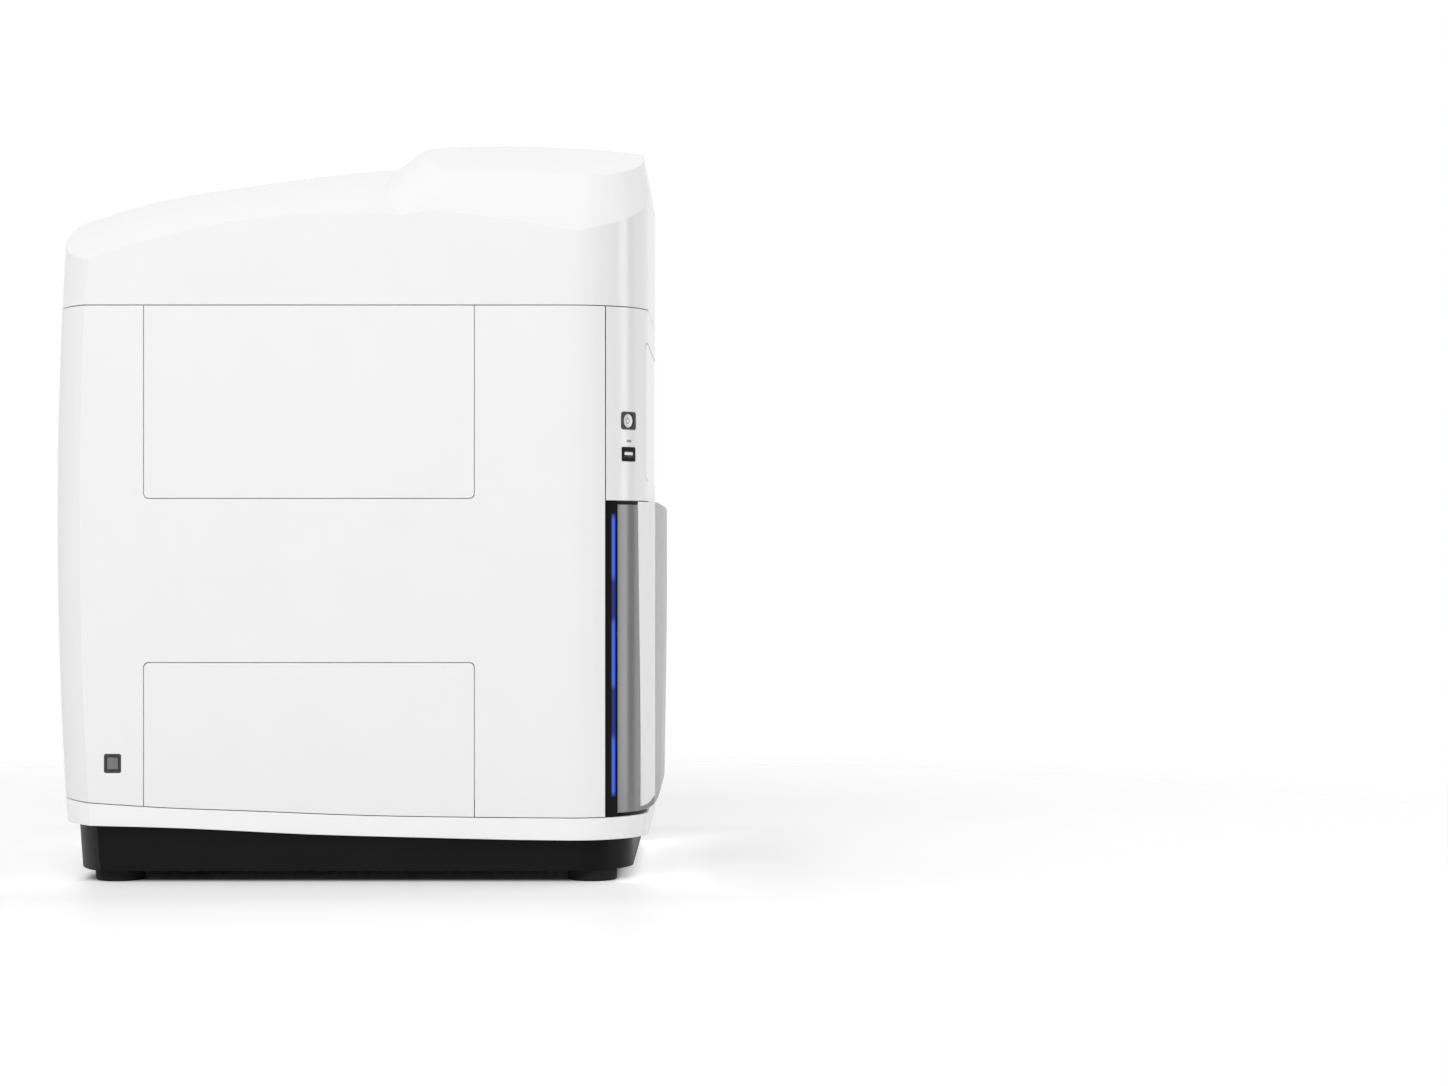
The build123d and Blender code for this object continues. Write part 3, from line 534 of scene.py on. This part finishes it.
def status_panel_painted_shade():
    """A thin grey ring along the edge of the recessed front panel: painted shade that stands for the shadow in
    its groove.
    """
    wide, high, centre, radius = STATUS_PANEL
    outer = rounded_outline(wide, high, radius, 10)
    inner = rounded_outline(wide - 0.0032, high - 0.0026, radius - 0.0012, 10)

    def wrap(x, z):
        """On the front or round its corners, just above the recessed panel."""
        r = CORNER_R - 0.0005
        side = -1 if x < 0 else 1
        past = abs(x) + CORNER_X
        if past <= 0:
            return (x, FRONT + 0.0005, centre + z)
        return (side * (-CORNER_X + past), CORNER_Y - math.sqrt(r ** 2 - past ** 2), centre + z)

    # The grey ring is painted shade along the panel's groove
    def build(bm):
        rows = [[bm.verts.new(wrap(*p)) for p in ring] for ring in (outer, inner)]
        count = len(outer)
        for i in range(count):
            j = (i + 1) % count
            bm.faces.new((rows[0][i], rows[0][j], rows[1][j], rows[1][i]))
    piece("status_panel_painted_shade", "housing", GREY, build)


# ---- inside -------------------------------------------------------------------------------

def slide_set(name, body, slides):
    """Frosted ends, stained tissue and cover glasses of a set of slides lying along one way."""
    def labels(bm):
        for x, y, z, turn in slides:
            at = Matrix.Translation((x, y, z)) @ Matrix.Rotation(turn, 4, "Z")
            add_slab(bm, at @ Matrix.Translation((0, 0.0285, 0)), 0.0254, 0.0180, 0.00012, 0.0004, 0.00004)
    piece(name + "_frosted_ends", body, FROSTED, labels)

    def tissue(bm):
        for index, (x, y, z, turn) in enumerate(slides):
            at = Matrix.Translation((x, y, z)) @ Matrix.Rotation(turn, 4, "Z")
            rings = []
            for h in (0.00002, 0.00008):
                ring = []
                for i in range(40):
                    a = math.tau * i / 40
                    r = 0.0068 * (1 + 0.16 * math.sin(2 * a + index) + 0.09 * math.sin(5 * a + 2 * index))
                    ring.append((r * math.cos(a), -0.008 + 1.35 * r * math.sin(a), h))
                rings.append(ring)
            add_rings(bm, rings, at)
    piece(name + "_tissue", body, TISSUE, tissue)

    def covers(bm):
        for x, y, z, turn in slides:
            at = Matrix.Translation((x, y, z)) @ Matrix.Rotation(turn, 4, "Z")
            add_slab(bm, at @ Matrix.Translation((0, -0.008, 0.0001)), 0.0220, 0.0320, 0.00015, 0.0002, 0.00003)
    piece(name + "_cover_glass", body, GLASS, covers)


def all_slides():
    for number, level in enumerate(TRAY_LEVELS, 1):
        top = RACK_FOOT + (level - 1) * RACK_PITCH + 0.0048
        row = [((i - 2) * SLIDE_PITCH, -0.186, top, math.pi) for i in range(5)]
        slide_set("tray_%d_slides" % number, "slide_tray_%d" % number, row)
    slide_set("stage_specimen", "specimen_holder", [(0, OPTIC_Y, HOLDER_TOP, math.pi / 2)])


def lift_thread():
    """The lift screw with its four-start thread cut."""
    core, crest, low, high, lead = 0.0041, 0.0050, 0.0643, 0.389, 0.020
    around, rows = 32, 520

    def build(bm):
        rings = []
        for j in range(rows + 1):
            z = low + (high - low) * j / rows
            plain = z < low + 0.006 or z > high - 0.008
            ring = []
            for i in range(around):
                a = math.tau * i / around
                wave = math.cos(4 * (a - math.tau * (z - low) / lead))
                r = crest - 0.0002 if plain else core + (crest - core) * min(1.0, max(0.0, 0.5 + 1.1 * wave))
                ring.append((r * math.cos(a), r * math.sin(a), z))
            rings.append(ring)
        add_rings(bm, rings, Matrix.Translation((*SCREW, 0)))
    thread = piece("lift_screw_threaded", "screw", GROUND, build, 60.0)
    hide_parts("lift_screw")


def objectives():
    for index, length in enumerate(OBJECTIVES):
        a = math.radians(90 * index)
        x, y = 0.030 * math.sin(a), TURRET_Y - 0.030 * math.cos(a)
        foot = Matrix.Translation((x, y, 0.520 - length))

        def barrel(bm, foot=foot, length=length):
            profile = [(0.0044, -0.0002), (0.0058, 0.0002), (0.0063, 0.0078), (0.0108, 0.0094),
                       (0.0112, 0.011), (0.0112, length - 0.016), (0.0118, length - 0.0155),
                       (0.0118, length - 0.0010),
                       (0.0114, length - 0.0002)]
            add_turned(bm, foot, profile, 48)
        piece("objective_barrel_%d" % (index + 1), "nosepiece", GROUND, barrel)

        def ring(bm, foot=foot):
            add_turned(bm, foot, [(0.0110, 0.0140), (0.01135, 0.0142), (0.01135, 0.0166), (0.0110, 0.0168)], 48)
        piece("objective_ring_%d" % (index + 1), "nosepiece", RINGS[index], ring)

        def tip(bm, foot=foot):
            profile = [(0.0005, -0.0007), (0.0022, -0.0006), (0.0034, -0.0003), (0.0036, 0.0002)]
            add_turned(bm, foot, profile, 32)
        piece("objective_lens_%d" % (index + 1), "nosepiece", LENS, tip)

    def knurl(bm):
        ring_low = []
        for z in (0.5205, 0.5322):
            ring = []
            for i in range(180):
                a = math.tau * i / 180
                r = 0.0402 if i % 2 else 0.0398
                ring.append((r * math.cos(a), r * math.sin(a), z))
            ring_low.append(ring)
        add_rings(bm, ring_low, Matrix.Translation((0, TURRET_Y, 0)))
    piece("turret_knurl", "nosepiece", GROUND, knurl, 20.0)


def camera_fins():
    def fins(bm):
        for i in range(7):
            z = 0.646 + i * 0.008
            for sign in (-1, 1):
                add_slab(bm, facing((sign * 0.034, OPTIC_Y, z), (sign, 0, 0)), 0.062, 0.0032, 0.0022,
                         0.0012, 0.0005)
    piece("camera_fins", "focus_head", ANODISED, fins)

    def screws(bm):
        for x in (-0.028, 0.028):
            for y in (OPTIC_Y - 0.028, OPTIC_Y + 0.028):
                add_screw(bm, facing((x, y, 0.700), (0, 0, 1)), 0.0024)
    piece("camera_screws", "focus_head", GROUND, screws)
    socket = [(0.0080, 0.0), (0.0080, 0.0055), (0.0074, 0.0060), (0.0062, 0.0060), (0.0060, 0.0020),
              (0.0010, 0.0018)]
    piece("camera_socket", "focus_head", GROUND,
          lambda bm: add_turned(bm, Matrix.Translation((0, OPTIC_Y, 0.7055)), socket, 40))


def stage_detail():
    def screws(bm):
        for x in (-0.140, -0.050, 0.050, 0.140):
            for y in (-0.1662, 0.0112):
                add_screw(bm, facing((x, y, STAGE_TOP), (0, 0, 1)), 0.0024, 0.0018)
        for x in (-0.098, 0.098):
            for z in (0.405, 0.420):
                add_screw(bm, facing((x, 0.050, z + 0.01), (0, -1, 0)), 0.003)
        for x in (-0.150, -0.080, 0.080, 0.150):
            for y in (-0.195, 0.230):
                add_screw(bm, facing((x, y, DECK_TOP), (0, 0, 1)), 0.0040, 0.0034)
    piece("deck_screws", "housing", GROUND, screws)

    def holder_screws(bm):
        for x in (-0.094, 0.094):
            for y in (-0.120, -0.010):
                add_screw(bm, facing((x, y, HOLDER_TOP), (0, 0, 1)), 0.0025)
    piece("holder_screws", "specimen_holder", GROUND, holder_screws)

    def scale(bm):
        for i in range(61):
            long = 0.0050 if i % 10 == 0 else (0.0038 if i % 5 == 0 else 0.0026)
            place = Matrix.Translation((-0.060 + 0.002 * i, -0.1615 + long / 2, 0.429))
            add_slab(bm, place, 0.00035, long, 0.00008, 0.0001, 0.00002)
    piece("cross_slide_scale", "cross_slide", FROSTED, scale)


def chip_box(bm, x, z, width, height, rise):
    add_slab(bm, facing((x, BOARD_FACE, z), (0, 1, 0)), width, height, rise, 0.0006, 0.0004)


def board_detail():
    def chips(bm):
        for x, z, w, h, rise in ((-0.060, 0.260, 0.0395, 0.0395, 0.0068), (-0.100, 0.222, 0.014, 0.014, 0.0018),
                                 (-0.078, 0.222, 0.010, 0.010, 0.0016), (-0.045, 0.218, 0.012, 0.008, 0.0016),
                                 (-0.090, 0.300, 0.016, 0.010, 0.0018), (-0.060, 0.304, 0.010, 0.010, 0.0016),
                                 (-0.036, 0.304, 0.008, 0.014, 0.0018)):
            chip_box(bm, x, z, w, h, rise)
    piece("board_chips", "housing", BLACK_PLASTIC, chips)

    def cans(bm):
        for i in range(5):
            add_turned(bm, facing((-0.086 + i * 0.011, BOARD_FACE, 0.323), (0, 1, 0)),
                       [(0.0042, 0), (0.0042, 0.0095), (0.0038, 0.0102), (0.0010, 0.0102)], 28)
    piece("board_capacitors", "housing", ALLOY, cans)

    def pins(bm):
        for row in range(2):
            for i in range(18):
                chip_box(bm, -0.0135 + row * 0.007, 0.208 + i * 0.0066, 0.0012, 0.0024, 0.0185)
    piece("board_connector_pins", "housing", BRASS, pins)

    def headers(bm):
        for x, z in ((-0.0100, 0.265), (-0.1225, 0.2325)):
            chip_box(bm, x, z, 0.0205, 0.131 if x > -0.1 else 0.0755, 0.0166 if x > -0.1 else 0.0096)
    piece("board_headers", "housing", IVORY, headers)

    def screws(bm):
        for x in (-0.143, 0.003):
            for z in (0.187, 0.333):
                add_screw(bm, facing((x, BOARD_FACE, z), (0, 1, 0)), 0.0028)
        for x in (0.030, 0.138):
            for z in (0.072, 0.134):
                add_screw(bm, facing((x, 0.276, z), (0, 1, 0)), 0.0026)
        for x in (-0.176, 0.176):
            for z in (0.100, 0.220, 0.340):
                add_screw(bm, facing((x, 0.169, z), (0, 1, 0)), 0.0032)
    piece("panel_screws", "housing", GROUND, screws)


def frame_screws():
    """Screws in the sheet frame's rails, seen through the service openings."""
    def build(bm):
        for z in (0.154, 0.306, 0.486):
            for y in (-0.205, 0.240):
                for sign in (-1, 1):
                    add_screw(bm, facing((sign * 0.209, y, z + 0.006), (0, 0, 1)), 0.003)
        for y in (-0.150, -0.050, 0.050, 0.150):
            for sign in (-1, 1):
                add_screw(bm, facing((sign * 0.204, y, 0.566), (sign, 0, 0)), 0.003)
                add_screw(bm, facing((sign * 0.204, y, 0.386), (sign, 0, 0)), 0.003)
    piece("frame_screws", "housing", GROUND, build)


# ---- camera, floor and light --------------------------------------------------------------

PHOTO_WIDTH = 1448
FOCAL_PX = 3000.0
EYE = (-HALF_WIDTH - 3.0, -0.372, 0.341)


def make_camera():
    data = bpy.data.cameras.new("camera")
    data.sensor_width = 36.0
    data.lens = 36.0 * FOCAL_PX / PHOTO_WIDTH
    data.clip_end = 200.0
    camera = bpy.data.objects.new("camera", data)
    bpy.context.collection.objects.link(camera)
    camera.location = EYE
    camera.rotation_euler = (math.pi / 2, 0, -math.pi / 2)
    bpy.context.scene.camera = camera
    bpy.context.scene.view_settings.view_transform = "Standard"


def profile(nodes, links, value, points):
    """A level that follows a value along straight lines between points."""
    first, last = points[0][0], points[-1][0]
    along = map_range(nodes, links, value, (first, last), (0.0, 1.0))
    stops = [((place - first) / (last - first), (level,) * 3) for place, level in points]
    return ramp(nodes, links, along, stops)


def make_floor():
    """A pale floor that fades into the white background away from the object, with painted light near the base:
    a glow seen by the camera only that lightens the floor's shadow there.
    """
    size = 3.0
    mesh = bpy.data.meshes.new("floor")
    corners = [(-size, -size, 0), (size, -size, 0), (size, size, 0), (-size, size, 0)]
    mesh.from_pydata(corners, [], [(0, 1, 2, 3)])
    floor = bpy.data.objects.new("floor", mesh)
    bpy.context.collection.objects.link(floor)
    material, nodes, links, bsdf = new_material("pale_floor")
    coord = nodes.new("ShaderNodeTexCoord").outputs["Object"]
    pale = [(0.3, (0.87, 0.87, 0.87)), (0.7, (0.88, 0.88, 0.88))]
    shade = ramp(nodes, links, noise(nodes, links, coord, 3.0), pale)
    links.new(shade, bsdf.inputs["Base Color"])
    bsdf.inputs["Roughness"].default_value = 0.45
    path = nodes.new("ShaderNodeLightPath")
    bsdf.inputs["Emission Color"].default_value = (1, 1, 1, 1)
    split = nodes.new("ShaderNodeSeparateXYZ")
    links.new(coord, split.inputs["Vector"])
    across, along = [math_node(nodes, links, "ABSOLUTE", split.outputs[axis], 0.0) for axis in ("X", "Y")]
    outside = math_node(nodes, links, "MAXIMUM", math_node(nodes, links, "SUBTRACT", across, HALF_WIDTH),
                        math_node(nodes, links, "SUBTRACT", along, REAR))
    # Painted light: a camera-only emission that lightens the floor's shade close to the housing and in front of
    # the base
    lift = profile(nodes, links, outside, FLOOR_PAINTED_LIGHT)
    ahead = math_node(nodes, links, "MULTIPLY", split.outputs["Y"], -1.0)
    between = map_range(nodes, links, across, (0.190, HALF_WIDTH), (1.0, 0.0))
    front = math_node(nodes, links, "MULTIPLY", profile(nodes, links, ahead, FRONT_PAINTED_LIGHT), between)
    lift = math_node(nodes, links, "ADD", lift, front)
    lift = math_node(nodes, links, "MULTIPLY", path.outputs["Is Camera Ray"], lift)
    links.new(lift, bsdf.inputs["Emission Strength"])
    far = nodes.new("ShaderNodeVectorMath")
    far.operation = "LENGTH"
    links.new(coord, far.inputs[0])
    fade = map_range(nodes, links, far.outputs["Value"], (0.8, 1.7), (0.0, 1.0))
    clear = nodes.new("ShaderNodeBsdfTransparent")
    mix = nodes.new("ShaderNodeMixShader")
    links.new(fade, mix.inputs["Fac"])
    links.new(bsdf.outputs["BSDF"], mix.inputs[1])
    links.new(clear.outputs["BSDF"], mix.inputs[2])
    links.new(mix.outputs["Shader"], nodes["Material Output"].inputs["Surface"])
    mesh.materials.append(material)


# Painted light on the floor, seen by the camera only: how far the floor's shade is lifted, by distance outside
# the housing's outline
FLOOR_PAINTED_LIGHT = [(-0.040, 0.0), (-0.022, 0.28), (0.02, 0.20), (0.06, 0.12), (0.12, 0.07), (0.20, 0.09)]
# and by distance ahead of the middle, between the base's sides, which lightens the painted contact shadow in
# front of the base
FRONT_PAINTED_LIGHT = [(0.258, 0.0), (0.268, 0.36), (0.284, 0.36), (0.300, 0.19), (0.315, 0.08), (0.360, 0.0)]
# Strength of the surroundings by compass direction, from -180 degrees to 180: brightest on the
# camera's side, with a dark flag beside the strip lamp in front of the machine
SURROUNDINGS = [(-180, 1.17), (-140, 0.33), (-84, 0.24), (-79, 0.05), (-73, 0.05), (-66, 1.3),
                (-40, 1.2), (0, 0.95), (90, 0.82), (140, 0.60), (180, 1.17)]
WORLD_PEAK = 2.0


def make_world():
    world = bpy.data.worlds.new("studio")
    bpy.context.scene.world = world
    world.use_nodes = True
    nodes, links = world.node_tree.nodes, world.node_tree.links
    split = nodes.new("ShaderNodeSeparateXYZ")
    links.new(nodes.new("ShaderNodeTexCoord").outputs["Generated"], split.inputs["Vector"])
    compass = math_node(nodes, links, "ARCTAN2", split.outputs["Y"], split.outputs["X"])
    place = map_range(nodes, links, compass, (-math.pi, math.pi), (0.0, 1.0))
    stops = [((degrees + 180) / 360, (level / WORLD_PEAK,) * 3) for degrees, level in SURROUNDINGS]
    around = math_node(nodes, links, "MULTIPLY", ramp(nodes, links, place, stops), WORLD_PEAK)
    path = nodes.new("ShaderNodeLightPath")
    seen = math_node(nodes, links, "MAXIMUM", path.outputs["Is Camera Ray"],
                     path.outputs["Is Transmission Ray"])
    strength = nodes.new("ShaderNodeMix")
    links.new(seen, strength.inputs["Factor"])
    links.new(around, strength.inputs["A"])
    strength.inputs["B"].default_value = 1.0
    links.new(strength.outputs["Result"], nodes["Background"].inputs["Strength"])
    nodes["Background"].inputs["Color"].default_value = (1, 1, 1, 1)


def area_light(name, place, target, size, power):
    data = bpy.data.lights.new(name, "AREA")
    data.shape = "RECTANGLE"
    data.size, data.size_y = size
    data.energy = power
    lamp = bpy.data.objects.new(name, data)
    bpy.context.collection.objects.link(lamp)
    lamp.location = place
    lamp.rotation_euler = (Vector(target) - Vector(place)).to_track_quat("-Z", "Y").to_euler()


def make_stage():
    make_camera()
    make_floor()
    make_world()
    area_light("key", (-2.6, 0.35, 2.5), (0, 0, 0.42), (2.6, 2.0), 50.0)
    area_light("front_top", (-0.2, -2.4, 2.8), (0, -0.5, 0.0), (2.2, 1.4), 6.5)
    area_light("strip", (-0.35, -3.4, 0.42), (-0.2, -0.25, 0.42), (0.85, 1.7), 14.0)


dress_nodes()
power_key()
usb_detail()
corner_dash()
side_switch()
foot_rings()
rear_screws()
rear_sockets()
window_borders()
status_panel_painted_shade()
all_slides()
lift_thread()
objectives()
camera_fins()
stage_detail()
board_detail()
frame_screws()
make_stage()
